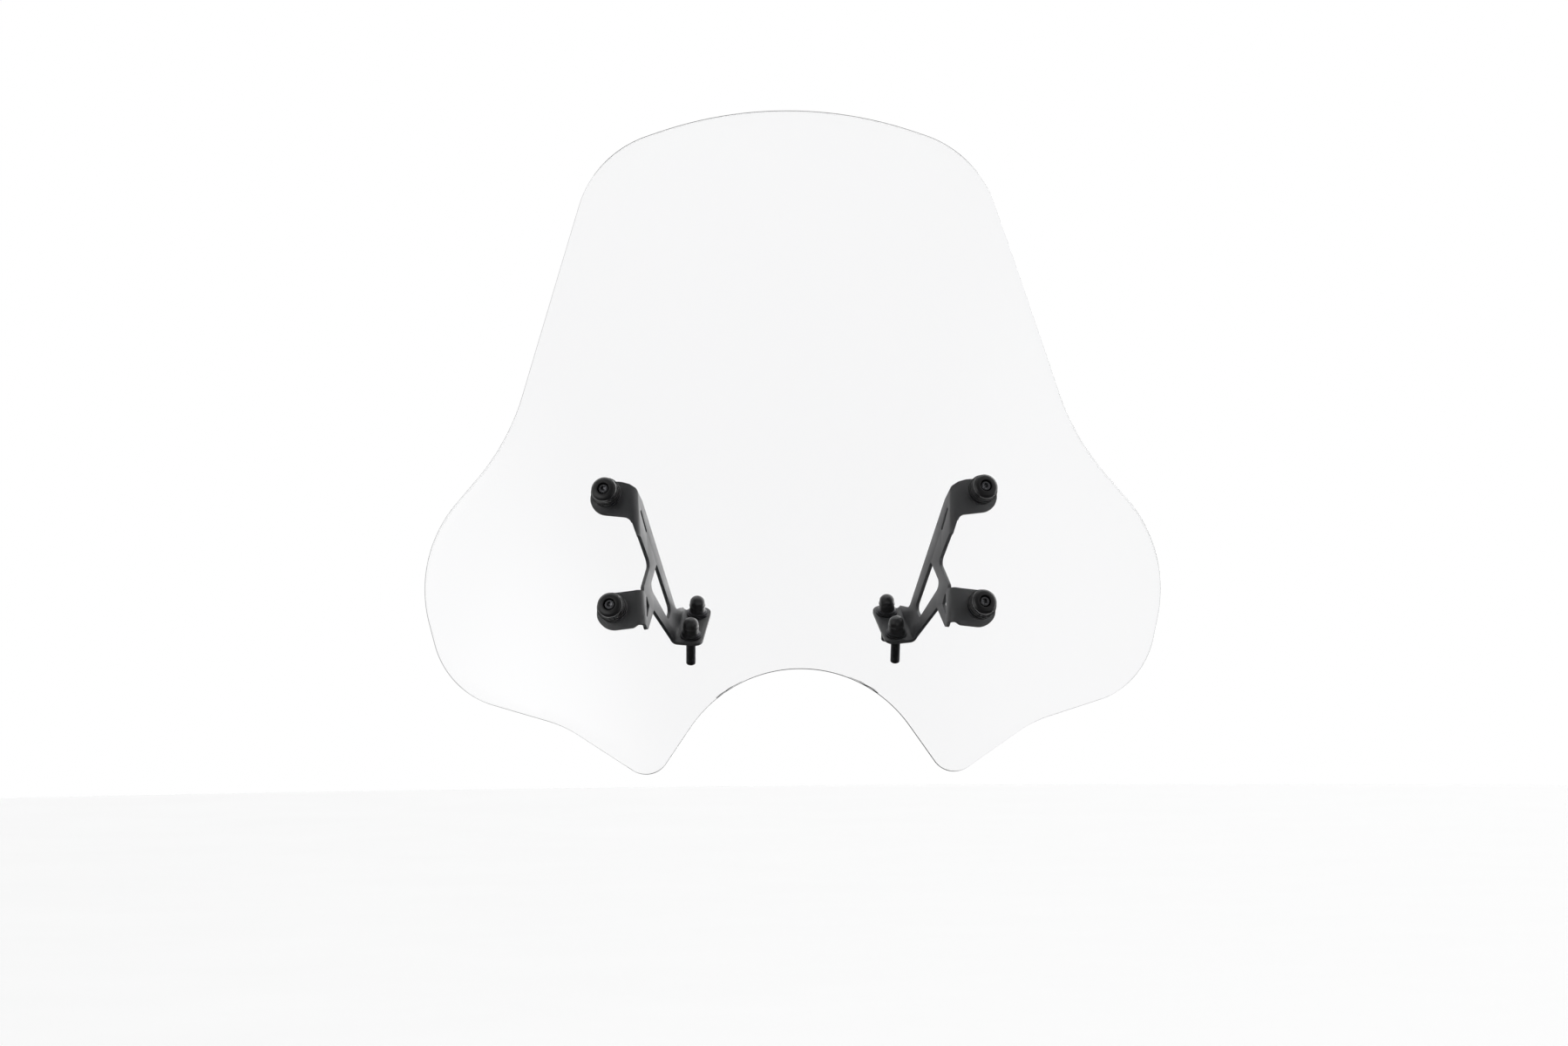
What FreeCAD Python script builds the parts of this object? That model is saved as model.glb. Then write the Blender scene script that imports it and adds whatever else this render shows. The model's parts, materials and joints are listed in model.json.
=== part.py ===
"""Touring windshield screen for a motorcycle handlebar, built as its real pieces, in millimetres.

+X is to the right seen from the front, -Y is forward and +Z is up.  The origin is midway between the
four handlebar clamp bolts, on the underside of the bracket tabs, where they rest on the clamp.
Everything is worked out on the right-hand side, and the left-hand side is its mirror image.
"""
import FreeCAD, Part
import math
import os

Vector = FreeCAD.Vector

# ---- the clear sheet ----
SHEET = 4.0                 # thickness
ACROSS_RADIUS = 640.0       # bend seen from above, with its centre behind the sheet
UPRIGHT_RADIUS = 1800.0     # gentler bend seen from the side
LEAN = 19.0                 # degrees that the sheet leans back, level with the middle of its mounts
LEAN_HEIGHT = 66.5          # Z of that level
LEAN_DEPTH = -99.3          # Y of the back face on the centre line at that level
SHEET_HOLE = 7.0            # radius
GRID_STEP = 20              # between the points that the curved faces are drawn through

# Half outline seen from the front, from the crown down to the arch over the headlight.  Each corner
# is (X, Z, rounding radius), where the straight runs on its two sides would cross.
SHEET_CORNERS = [
    (0, 463, 340),          # crown
    (165, 407, 91),         # shoulder
    (238, 157, 190),        # waist, curving the other way
    (320, 62, 109),         # widest part, in front of the hands
    (289, -50, 70),         # lower outer corner
    (192, -77, 98),         # curving the other way again
    (120, -123, 20),        # lobe beside the headlight
    (0, 50, 108),           # arch over the headlight
]

# ---- the rubber mounts; heights are along the sheet's normal, from its back face ----
MOUNTS = {"upper": (156.5, 114.0), "lower": (152.0, 19.0)}     # X and Z on the back face
CUP_FRONT = 13.0
SCREW_SEAT = 7.0
CUP_SEAT = 5.6
GROMMET_BACK = -3.5
EAR_FRONT = -9.5
SCREW_END = -23.0
SCREW = 2.5                 # M5 radius
SCREW_HEAD = 4.25           # radius
FREE_HOLE = 2.8
RUNNING_HOLE = 2.55
SLEEVE = 3.6                # outer radius
NUT_WASHER = 1.0            # thickness
NUT_HEIGHT = 5.0
NUT_FLATS = 8.0

# ---- the bent steel brackets ----
PLATE = 3.0
BEND_RADIUS = 4.5           # to the middle of the plate
EAR_REACH = 22.5            # from a mount's axis to the fold beside it
EAR_AHEAD = 15.8            # from an ear's hole to its round end
EAR_BELOW = 15.8            # from the hole to the ear's lower edge
EAR_ABOVE = {"upper": 14.2, "lower": 15.8}      # and to its upper edge
FOLD_DROP = {"upper": 7.0, "lower": 1.5}        # how far below the mount's axis its fold is centred
EAR_TILT = {"upper": 13.0, "lower": 0.0}        # degrees
FOLD_SPAN = {"upper": (-30.0, 16.0), "lower": (-12.0, 17.5)}

# Where an ear's lower and upper edges turn in line with its hole, as (reach from the fold, rounding).
EAR_THROATS = {"upper": [(4.6, 9.0), (11.0, 14.0)], "lower": [(8.0, 5.0), (8.0, 5.0)]}

# What is trimmed off the two ends of the upper fold, seen from the front: (X, Z, rounding radius).
FOLD_TRIMS = [
    [(138, 122, 0), (131.5, 117.8, 5), (125.5, 105, 0), (122, 105, 0), (122, 126, 0), (138, 126, 0)],
    [(135.4, 89.3, 0), (131.1, 77, 0), (140, 77, 0), (140, 85, 0)],
]

TAB_LEAN = 32.0             # degrees that the clamp's top tips forward
BASE_FOLD_X = 97.0
BASE_FOLD_SPAN = (-26.0, 24.0)
CLAMP_X = 83.5              # of the middle of a side's two bolts
CLAMP_PITCH = 34.0          # between those two
CLAMP_HOLE = 4.3

# Corners of the flat side plate, as (rearward, upward) from the lower fold, and its openings.
LEG_TIP = (7.5, -16.5)
LEG_NOTCH = (27.5, 8.0)
REAR_CORNER = (88.5, 26.5)
TOP_CORNER = (5.8, 106.5)
FRONT_NOTCH = (25.0, 47.5)
LEG_THROAT = (4.0, 21.3)
SIDE_WINDOW = [(42.0, 53.0, 2), (20.5, 26.0, 6), (65.0, 10.5, 3), (75.5, 22.5, 6)]
ARM_SLOT = [(8.0, 90.5, 1.5), (20.5, 75.0, 1.5), (17.8, 72.8, 1.5), (5.3, 88.3, 1.5)]
LEG_CUTOUT = [(8.5, 17.0, 1.5), (15.5, 8.0, 1.5), (6.5, -7.0, 1.0)]
TAB_MARGIN = 11.0           # from a clamp bolt's axis to the tab's edges

# ---- the clamp bolts; heights are along the bolt, from the tab's underside ----
BOLT = 4.0                  # M8 radius
BOLT_THREAD = 3.6           # mean radius of its thread, below the tab
BOLT_END = -25.4
BOLT_FLATS = 10.0
BOLT_WASHER = 1.6           # thickness
WASHER_RIM = 9.1            # outer radius
BOLT_SEAT = PLATE + BOLT_WASHER
FLANGE = 2.0                # thickness of the bolt's own flange
HEAD = 8.0                  # height of the head with that flange
CAP = 6.4                   # outer radius
CAP_HEIGHT = 13.0
CAP_GAP = 0.05


# ---- working planes and turned parts ----
def unit(vector):
    return vector * (1.0 / vector.Length)


class Plane:
    """A flat working plane with an origin, two directions and a normal."""

    def __init__(self, origin, across, along):
        self.origin = origin
        self.across = unit(across)
        self.along = unit(along)
        self.normal = self.across.cross(self.along)

    def at(self, across, along, height=0.0):
        return self.origin + self.across * across + self.along * along + self.normal * height

    def find(self, point):
        """Where a point lies in the plane's two directions."""
        offset = point - self.origin
        return offset.dot(self.across), offset.dot(self.along)

    def outline(self, corners, height=0.0):
        """A face inside corners of (across, along, rounding radius)."""
        points = [self.at(corner[0], corner[1], height) for corner in corners]
        rounds = []
        for index, point in enumerate(points):
            radius = corners[index][2]
            back = unit(points[index - 1] - point)
            ahead = unit(points[(index + 1) % len(points)] - point)
            half_angle = back.getAngle(ahead) / 2
            reach = radius / math.tan(half_angle)
            inward = radius / math.sin(half_angle) - radius
            rounds.append((point + back * reach, point + unit(back + ahead) * inward, point + ahead * reach))
        edges = []
        for index, (start, middle, finish) in enumerate(rounds):
            if corners[index][2] > 0:
                edges.append(Part.Arc(start, middle, finish).toShape())
            edges.append(Part.LineSegment(finish, rounds[(index + 1) % len(rounds)][0]).toShape())
        return Part.Face(Part.Wire(edges))

    def plate(self, corners, cutouts=(), holes=(), hole_radius=0.0):
        """A plate of bracket steel centred on this plane, with cut-outs and round holes."""
        solid = self.outline(corners, -PLATE / 2).extrude(self.normal * PLATE)
        for cutout in cutouts:
            solid = solid.cut(self.outline(cutout, -PLATE).extrude(self.normal * 2 * PLATE))
        for across, along in holes:
            centre = self.at(across, along, -PLATE)
            solid = solid.cut(Part.makeCylinder(hole_radius, 2 * PLATE, centre, self.normal))
        return solid


def turned(profile):
    """A ring turned about Z from corners of (radius, height, rounding radius)."""
    section = Plane(Vector(0, 0, 0), Vector(1, 0, 0), Vector(0, 0, 1))
    return section.outline(profile).revolve(Vector(0, 0, 0), Vector(0, 0, 1), 360)


def ring(inner, outer, low, high, edge=0.2):
    """A plain ring about Z with its outer edges just rounded."""
    return turned([(inner, low, 0), (outer, low, edge), (outer, high, edge), (inner, high, 0)])


def hexagon(flats, low, high, chamfer):
    """A hexagonal prism about Z with its top corners turned off."""
    corner = flats / math.sqrt(3)
    angles = [math.radians(60 * step) for step in range(7)]
    rim = [Vector(corner * math.cos(angle), corner * math.sin(angle), low) for angle in angles]
    prism = Part.Face(Part.makePolygon(rim)).extrude(Vector(0, 0, high - low))
    cone = turned([(0, low - 1, 0), (corner + 1, low - 1, 0), (corner + 1, high - chamfer - 0.6, 0),
                   (flats / 2 - 0.4, high, 0), (0, high, 0)])
    return prism.common(cone)


def placed(solid, point, axis):
    """The solid with its Z axis turned to the given axis and its origin moved to the point."""
    copy = solid.copy()
    copy.Placement = FreeCAD.Placement(point, FreeCAD.Rotation(Vector(0, 0, 1), axis))
    return copy


def mirrored(solid):
    return solid.mirror(Vector(0, 0, 0), Vector(1, 0, 0))


def upside_down(solid):
    return solid.mirror(Vector(0, 0, 0), Vector(0, 0, 1))


def front_prism(corners):
    """Everything behind an outline of (X, Z, rounding radius) seen from the front."""
    front_view = Plane(Vector(0, -400, 0), Vector(1, 0, 0), Vector(0, 0, 1))
    return front_view.outline(corners).extrude(Vector(0, 800, 0))


# ---- the clear sheet ----
def back_depth(x, z):
    """Y of the sheet's back face: an arc across, and a lean that grows slowly upwards."""
    bow = ACROSS_RADIUS - math.sqrt(ACROSS_RADIUS ** 2 - x ** 2)
    rise = z - LEAN_HEIGHT
    return LEAN_DEPTH + bow + rise * math.tan(math.radians(LEAN)) + rise ** 2 / (2 * UPRIGHT_RADIUS)


def sheet_normal(x, z):
    """The sheet's forward normal at a point of its back face."""
    across_slope = x / math.sqrt(ACROSS_RADIUS ** 2 - x ** 2)
    upright_slope = math.tan(math.radians(LEAN)) + (z - LEAN_HEIGHT) / UPRIGHT_RADIUS
    return unit(Vector(across_slope, -1, upright_slope))


def mount_axis(level):
    """A right-hand mount's point on the sheet's back face, and its forward direction."""
    x, z = MOUNTS[level]
    return Vector(x, back_depth(x, z), z), sheet_normal(x, z)


def make_screen():
    widths = range(-340, 341, GRID_STEP)
    heights = range(-160, 481, GRID_STEP)
    surface = Part.BSplineSurface()
    surface.interpolate([[Vector(x, back_depth(x, z), z) for z in heights] for x in widths])
    left_corners = [(-x, z, radius) for x, z, radius in reversed(SHEET_CORNERS[1:-1])]
    back_face = surface.toShape().common(front_prism(SHEET_CORNERS + left_corners)).Faces[0]
    forward = -SHEET if back_face.normalAt(0.5, 0.5).y > 0 else SHEET
    solid = back_face.makeOffsetShape(forward, 1e-4, fill=True)
    drills = []
    for level in MOUNTS:
        point, axis = mount_axis(level)
        drill = Part.makeCylinder(SHEET_HOLE, 6 * SHEET, point - axis * 3 * SHEET, axis)
        drills += [drill, mirrored(drill)]
    return solid.cut(drills)


# ---- the brackets ----
class Fold:
    """A bend between the side plate and a flange, where their middle planes cross on a line."""

    def __init__(self, point, along, main_way, flange_way, span):
        self.point = point
        self.along = along
        self.main_way = main_way
        self.flange_way = flange_way
        self.span = span
        self.turn = math.pi - main_way.getAngle(flange_way)
        self.setback = BEND_RADIUS * math.tan(self.turn / 2)

    def ends(self):
        """Where the rounded part meets the side plate, at its low and high ends."""
        return [self.point + self.main_way * self.setback + self.along * reach for reach in self.span]

    def flange(self):
        """The flange's middle plane, with its origin on the fold's line."""
        return Plane(self.point, self.flange_way, self.along)

    def rounded_part(self):
        low, high = self.ends()
        through = unit(self.along.cross(self.main_way)) * (PLATE / 2)
        corners = [low - through, low + through, high + through, high - through]
        centre = self.point + unit(self.main_way + self.flange_way) * (BEND_RADIUS / math.cos(self.turn / 2))
        axis = unit(self.flange_way.cross(self.main_way))
        section = Part.Face(Part.makePolygon(corners + corners[:1]))
        return section.revolve(centre, axis, math.degrees(self.turn))


def towards(vector, guide):
    """The unit vector along a line, pointing the same way as the guide."""
    return unit(vector) if vector.dot(guide) > 0 else unit(vector) * -1


def make_fold(point, side_normal, flange_normal, along_guide, main_guide, flange_guide, span):
    along = towards(flange_normal.cross(side_normal), along_guide)
    main_way = towards(side_normal.cross(along), main_guide)
    flange_way = towards(flange_normal.cross(along), flange_guide)
    return Fold(point, along, main_way, flange_way, span)


def ear_hole(level):
    """The middle of an ear's screw hole, and its direction."""
    point, axis = mount_axis(level)
    return point + axis * (EAR_FRONT - PLATE / 2), axis


def make_ear(level, fold):
    """An ear plate: a strip with a round end, in line with its hole at a small tilt."""
    hole, _ = ear_hole(level)
    plane = fold.flange()
    across, middle = plane.find(hole)
    slope = math.radians(EAR_TILT[level])
    above = EAR_ABOVE[level]
    round_end = (EAR_BELOW + above) / 2 - 0.01
    low, high = fold.span

    def edge(throat, offset):
        """A corner on one of the strip's edges, at a reach from the fold."""
        reach, rounding = throat
        rise = (reach - across) * math.tan(slope)
        return reach, middle + rise + offset / math.cos(slope), rounding

    def end(offset):
        """A corner of the strip's round end, on one of its edges."""
        ahead = EAR_AHEAD * math.cos(slope) - offset * math.sin(slope)
        aside = EAR_AHEAD * math.sin(slope) + offset * math.cos(slope)
        return across + ahead, middle + aside, round_end

    lower_throat, upper_throat = EAR_THROATS[level]
    corners = [
        (fold.setback, low, 0),
        edge(lower_throat, -EAR_BELOW),
        end(-EAR_BELOW),
        end(above),
        edge(upper_throat, above),
        (fold.setback, high, 0),
    ]
    return plane.plate(corners, holes=[(across, middle)], hole_radius=FREE_HOLE)


def tab_axis():
    """The direction of the clamp bolts' heads."""
    lean = math.radians(TAB_LEAN)
    return Vector(0, -math.sin(lean), math.cos(lean))


def bracket_folds():
    """The right-hand side plate's middle plane and its folds to the two ears and the tab."""
    rise = mount_axis("upper")[0] - mount_axis("lower")[0]
    points = {}
    for level in MOUNTS:
        hole, axis = ear_hole(level)
        inboard = towards(axis.cross(rise), Vector(-1, 0, 0))
        upward = unit(rise - axis * rise.dot(axis))
        points[level] = hole + inboard * EAR_REACH - upward * FOLD_DROP[level]
    base = Vector(BASE_FOLD_X, 0, 0) + tab_axis() * (PLATE / 2)

    up = unit(points["upper"] - points["lower"])
    side_normal = unit((base - points["lower"]).cross(up))
    side = Plane(points["lower"], towards(up.cross(side_normal), Vector(0, 1, 0)), up)

    folds = {}
    for level in MOUNTS:
        folds[level] = make_fold(points[level], side.normal, mount_axis(level)[1], side.along,
                                 side.across, Vector(1, 0, 0), FOLD_SPAN[level])
    folds["base"] = make_fold(base, side.normal, tab_axis(), Vector(0, 1, 0),
                              side.across * -1, Vector(-1, 0, 0), BASE_FOLD_SPAN)
    return side, folds


def make_side_plate(side, folds):
    lower_low, lower_high = [side.find(point) for point in folds["lower"].ends()]
    upper_low, upper_high = [side.find(point) for point in folds["upper"].ends()]
    base_front, base_rear = [side.find(point) for point in folds["base"].ends()]
    corners = [
        (*lower_low, 0),
        (*LEG_TIP, 3),
        (*LEG_NOTCH, 2),
        (*base_front, 0),
        (*base_rear, 0),
        (*REAR_CORNER, 6),
        (*TOP_CORNER, 4.5),
        (*upper_high, 0),
        (*upper_low, 0),
        (*FRONT_NOTCH, 6),
        (*LEG_THROAT, 4),
        (*lower_high, 0),
    ]
    return side.plate(corners, [SIDE_WINDOW, ARM_SLOT, LEG_CUTOUT])


def clamp_bolt_points(tab):
    """The two right-hand bolt centres on the tab's underside, front one first."""
    middle = Vector(CLAMP_X, 0, 0)
    return [middle - tab.along * (CLAMP_PITCH / 2), middle + tab.along * (CLAMP_PITCH / 2)]


def make_tab(fold):
    plane = fold.flange()
    front, rear = [plane.find(point) for point in clamp_bolt_points(plane)]
    low, high = fold.span
    inner = front[0] + TAB_MARGIN
    corners = [
        (fold.setback, low, 0),
        (inner, low, 8),
        (inner, rear[1] + TAB_MARGIN, 8),
        (rear[0], rear[1] + TAB_MARGIN, 6),
        (fold.setback, high, 0),
    ]
    return plane.plate(corners, holes=[front, rear], hole_radius=CLAMP_HOLE)


def make_bracket():
    side, folds = bracket_folds()
    solid = make_side_plate(side, folds)
    flanges = [make_ear(level, folds[level]) for level in MOUNTS]
    flanges.append(make_tab(folds["base"]))
    bends = [fold.rounded_part() for fold in folds.values()]
    trims = [front_prism(trim) for trim in FOLD_TRIMS]
    return solid.fuse(bends + flanges).removeSplitter().cut(trims)


# ---- the rubber mounts' pieces, each about Z with the screw's head upwards ----
def make_screen_screw():
    """A cap screw with a hexagon socket."""
    top = SCREW_SEAT + 2 * SCREW
    head = turned([(0, SCREW_SEAT, 0), (SCREW_HEAD, SCREW_SEAT, 0.2), (SCREW_HEAD, top, 0.6), (0, top, 0)])
    shank = turned([(0, SCREW_END, 0), (SCREW - 0.5, SCREW_END, 0), (SCREW, SCREW_END + 0.5, 0),
                    (SCREW, SCREW_SEAT + 1, 0), (0, SCREW_SEAT + 1, 0)])
    socket = hexagon(4.0, top - 2.5, top + 1, 0)
    return head.fuse(shank).cut(socket).removeSplitter()


def make_cup_washer():
    """A stepped, domed cup that the screw's head sits deep inside."""
    low, high = CUP_SEAT, CUP_FRONT
    recess = SCREW_HEAD + 0.85
    return turned([
        (RUNNING_HOLE, low, 0), (11.5, low, 0.3), (11.5, low + 1.3, 0.4), (10.7, low + 1.5, 0.1),
        (10.7, low + 1.9, 0.1), (11.1, low + 2.1, 0.15), (11.1, low + 3.1, 0.3), (10.4, low + 3.3, 0.1),
        (10.4, low + 3.7, 0.1), (10.7, low + 3.9, 0.15), (10.5, high - 1.9, 1.0), (8.6, high - 0.5, 1.5),
        (recess + 1.2, high, 0.4), (recess, high, 0.25), (recess, SCREW_SEAT, 0.2),
        (RUNNING_HOLE, SCREW_SEAT, 0),
    ])


def make_grommet():
    """A rubber bush whose two flanges grip the sheet, with its neck through the sheet's hole."""
    flange = 12.2
    neck = SHEET_HOLE - 0.15
    front, back = SHEET + 0.1, -0.3         # the groove's sides, clear of the curved sheet
    return turned([
        (SLEEVE, GROMMET_BACK, 0), (flange - 1, GROMMET_BACK, 0.6), (flange, GROMMET_BACK + 1.2, 0.6),
        (flange, back, 0.3), (neck, back, 0), (neck, front, 0), (flange, front, 0.3),
        (flange, CUP_SEAT, 0.5), (SLEEVE, CUP_SEAT, 0),
    ])


def make_nut():
    """A locking nut, with a collar behind its hexagon that holds a nylon ring."""
    front = EAR_FRONT - PLATE - NUT_WASHER
    back = front - NUT_HEIGHT
    prism = upside_down(hexagon(NUT_FLATS, -front, -front + 3.8, 0.4))
    collar = upside_down(turned([(0, -front + 3, 0), (3.8, -front + 3, 0), (3.8, -back, 0.7), (0, -back, 0)]))
    bore = turned([(0, back - 1, 0), (3.4, back - 1, 0), (3.4, back + 1.6, 0), (RUNNING_HOLE, back + 1.6, 0),
                   (RUNNING_HOLE, front + 1, 0), (0, front + 1, 0)])
    lip = upside_down(ring(2.9, 3.5, -back - 0.3, -back, 0.1))
    return prism.fuse(collar).cut(bore).fuse(lip).removeSplitter()


def make_nut_insert():
    back = EAR_FRONT - PLATE - NUT_WASHER - NUT_HEIGHT
    return ring(RUNNING_HOLE, 3.4, back + 0.3, back + 1.6, 0.1)


def mount_pieces():
    ear_back = EAR_FRONT - PLATE
    return {
        "screen_screw": make_screen_screw(),
        "cup_washer": make_cup_washer(),
        "grommet": make_grommet(),
        "sleeve": ring(FREE_HOLE, SLEEVE, GROMMET_BACK, CUP_SEAT, 0),
        "rear_spacer": ring(FREE_HOLE, 8.0, EAR_FRONT, GROMMET_BACK, 0.5),
        "rear_washer": ring(FREE_HOLE, 5.0, ear_back - NUT_WASHER, ear_back, 0.2),
        "nut": make_nut(),
        "nut_insert": make_nut_insert(),
    }


# ---- the clamp bolts' pieces, each about Z with the bolt's head upwards ----
def make_clamp_bolt():
    """A flange bolt with a small hexagon head."""
    flange = turned([(0, BOLT_SEAT, 0), (8.0, BOLT_SEAT, 0.2), (8.0, BOLT_SEAT + 0.9, 0.3),
                     (5.9, BOLT_SEAT + FLANGE, 0.3), (0, BOLT_SEAT + FLANGE, 0)])
    head = hexagon(BOLT_FLATS, BOLT_SEAT + FLANGE - 0.5, BOLT_SEAT + HEAD, 0.5)
    shank = turned([(0, BOLT_END, 0), (BOLT_THREAD - 0.8, BOLT_END, 0), (BOLT_THREAD, BOLT_END + 0.8, 0),
                    (BOLT_THREAD, 0, 0), (BOLT, 0, 0), (BOLT, BOLT_SEAT + 0.5, 0), (0, BOLT_SEAT + 0.5, 0)])
    return flange.fuse([head, shank]).removeSplitter()


def make_bolt_cap():
    """A domed plastic cap pushed over the bolt's hexagon."""
    seat = BOLT_SEAT + FLANGE + CAP_GAP
    top = seat + CAP_HEIGHT
    inside = BOLT_FLATS / math.sqrt(3) + CAP_GAP
    roof = BOLT_SEAT + HEAD + 0.5
    return turned([
        (inside, seat, 0), (CAP + 0.3, seat, 0.2), (CAP, seat + 4.6, 0.1), (CAP + 0.4, seat + 4.9, 0.15),
        (CAP + 0.4, seat + 5.5, 0.2), (CAP, seat + 5.9, 0.2), (CAP - 0.3, top, 5.2), (0, top, 0),
        (0, roof, 0), (inside, roof, 0.3),
    ])


def clamp_pieces():
    return {
        "clamp_bolt": make_clamp_bolt(),
        "clamp_washer": ring(CLAMP_HOLE, WASHER_RIM, PLATE, BOLT_SEAT, 0.3),
        "bolt_cap": make_bolt_cap(),
    }


# ---- the whole assembly ----
def all_parts():
    """Every piece by name; left and right are as seen from the front."""
    bracket = make_bracket()
    parts = {"screen": make_screen(), "right_bracket": bracket, "left_bracket": mirrored(bracket)}
    for level in MOUNTS:
        point, axis = mount_axis(level)
        for name, piece in mount_pieces().items():
            there = placed(piece, point, axis)
            parts[f"{level}_right_{name}"] = there
            parts[f"{level}_left_{name}"] = mirrored(there)
    base = bracket_folds()[1]["base"]
    for place, point in zip(("front", "rear"), clamp_bolt_points(base.flange())):
        for name, piece in clamp_pieces().items():
            there = placed(piece, point, tab_axis())
            parts[f"{place}_right_{name}"] = there
            parts[f"{place}_left_{name}"] = mirrored(there)
    return parts


def main():
    os.makedirs("parts", exist_ok=True)
    for name, shape in all_parts().items():
        solid = shape.Solids[0]
        if not solid.isValid() or len(shape.Solids) != 1:
            print("check", name, len(shape.Solids), "solids")
        solid.exportStep(f"parts/{name}.step")
        print(f"{name}: {solid.Volume / 1000:.2f} cm3")


main()
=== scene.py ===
"""The looks of the motorcycle windshield screen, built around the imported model, in metres.

Turned pieces are drawn about their own Z axis, with the heights and radii in millimetres, and are then
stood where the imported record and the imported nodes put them.
"""

import json
import math

import bmesh
import bpy
from mathutils import Matrix, Vector
from mathutils.geometry import delaunay_2d_cdt


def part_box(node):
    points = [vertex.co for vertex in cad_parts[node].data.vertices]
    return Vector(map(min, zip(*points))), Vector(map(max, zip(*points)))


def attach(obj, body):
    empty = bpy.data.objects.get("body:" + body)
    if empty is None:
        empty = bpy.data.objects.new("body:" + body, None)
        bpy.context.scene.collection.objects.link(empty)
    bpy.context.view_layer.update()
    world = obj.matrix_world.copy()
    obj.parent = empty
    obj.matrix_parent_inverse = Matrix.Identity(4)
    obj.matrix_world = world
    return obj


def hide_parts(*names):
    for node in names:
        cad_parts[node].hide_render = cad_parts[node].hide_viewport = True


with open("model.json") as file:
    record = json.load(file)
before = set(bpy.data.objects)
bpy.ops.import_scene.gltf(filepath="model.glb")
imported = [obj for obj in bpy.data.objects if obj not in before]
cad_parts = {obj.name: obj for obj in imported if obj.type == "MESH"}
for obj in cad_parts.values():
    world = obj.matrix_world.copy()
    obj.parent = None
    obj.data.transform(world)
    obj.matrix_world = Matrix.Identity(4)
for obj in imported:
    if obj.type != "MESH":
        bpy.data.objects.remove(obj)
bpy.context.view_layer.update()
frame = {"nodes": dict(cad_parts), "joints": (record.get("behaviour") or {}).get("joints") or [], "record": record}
MM = 0.001
WELD = 2e-6                     # metres: mesh points nearer than this are one point

# ---- sizes shared with the CAD, in millimetres ----
SHEET = 4.0
ACROSS_RADIUS = 640.0
UPRIGHT_RADIUS = 1800.0
LEAN = 19.0
LEAN_HEIGHT = 66.5
LEAN_DEPTH = -99.3
SHEET_HOLE = 7.0
SHEET_CORNERS = [               # half outline seen from the front: X, Z, rounding radius
    (0, 463, 340), (165, 407, 91), (238, 157, 190), (320, 62, 109),
    (289, -50, 70), (192, -77, 98), (120, -123, 20), (0, 50, 108),
]
CUP_FRONT = 13.0
SCREW_SEAT = 7.0
CUP_SEAT = 5.6
GROMMET_BACK = -3.5
EAR_FRONT = -9.5
PLATE = 3.0
NUT_WASHER = 1.0
NUT_HEIGHT = 5.0
NUT_FLATS = 8.0
SCREW_END = -23.0
SCREW = 2.5
SCREW_HEAD = 4.25
SCREW_PITCH = 0.8
FREE_HOLE = 2.8
RUNNING_HOLE = 2.55
SLEEVE = 3.6
BOLT = 4.0
BOLT_PITCH = 1.25
BOLT_END = -25.4
BOLT_FLATS = 10.0
BOLT_WASHER = 1.6
WASHER_RIM = 9.1
BOLT_SEAT = PLATE + BOLT_WASHER
FLANGE = 2.0
HEAD = 8.0
CAP = 6.4
CAP_HEIGHT = 13.0
CAP_GAP = 0.05
CLAMP_HOLE = 4.3

# ---- sizes that only the looks have, in millimetres ----
RIM_ROUND = 1.5                 # the sheet's flame-polished edge
HOLE_ROUND = 0.4
HOLE_SIDES = 48
OUTLINE_STEP = 1.6              # degrees of an outline's arc to a point
OUTLINE_GAP = 0.05              # outline points nearer than this are one point
GRID = 9.0                      # between the points inside the sheet's outline
GRID_COLUMNS = range(-36, 37)   # enough for the sheet's width
GRID_ROWS = range(-16, 54)      # and for its height
RIM_CLEAR = GRID * 0.6          # no grid points nearer to the outline than this
HOLE_CLEAR = SHEET_HOLE + 4     # nor nearer to a hole's centre
MESH_TOLERANCE = 1e-6           # the triangulation's
PLATE_ROUND = 0.4               # the brackets' edges under their coating
PLATE_FLAT = 0.6                # degrees: facets of a bracket nearer to level than this are joined
PLATE_SHARP = 50                # degrees: a bracket's edges sharper than this are rounded

SIDES = ("right", "left")
LEVELS = ("upper", "lower")
PLACES = ("front", "rear")


# ---- outlines and meshes ----
def rounded(corners, step=7.5):
    """Points along a closed outline whose corners (a, b, radius) are rounded by arcs."""
    points = []
    for index, (a, b, radius) in enumerate(corners):
        corner = Vector((a, b))
        before = (Vector(corners[index - 1][:2]) - corner).normalized()
        after = (Vector(corners[(index + 1) % len(corners)][:2]) - corner).normalized()
        if radius <= 0:
            points.append(corner)
            continue
        half = before.angle(after) / 2
        centre = corner + (before + after).normalized() * (radius / math.sin(half))
        start = corner + before * (radius / math.tan(half)) - centre
        turn = math.pi - 2 * half
        if before.x * after.y - before.y * after.x > 0:
            turn = -turn
        steps = max(2, math.ceil(abs(math.degrees(turn)) / step))
        for count in range(steps + 1):
            points.append(centre + Matrix.Rotation(turn * count / steps, 2) @ start)
    return points


def evened(points, spacing):
    """The same closed outline with its long straight runs divided."""
    result = []
    for index, point in enumerate(points):
        ahead = points[(index + 1) % len(points)]
        parts = max(1, math.ceil((ahead - point).length / spacing))
        result += [point.lerp(ahead, part / parts) for part in range(parts)]
    return result


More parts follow.
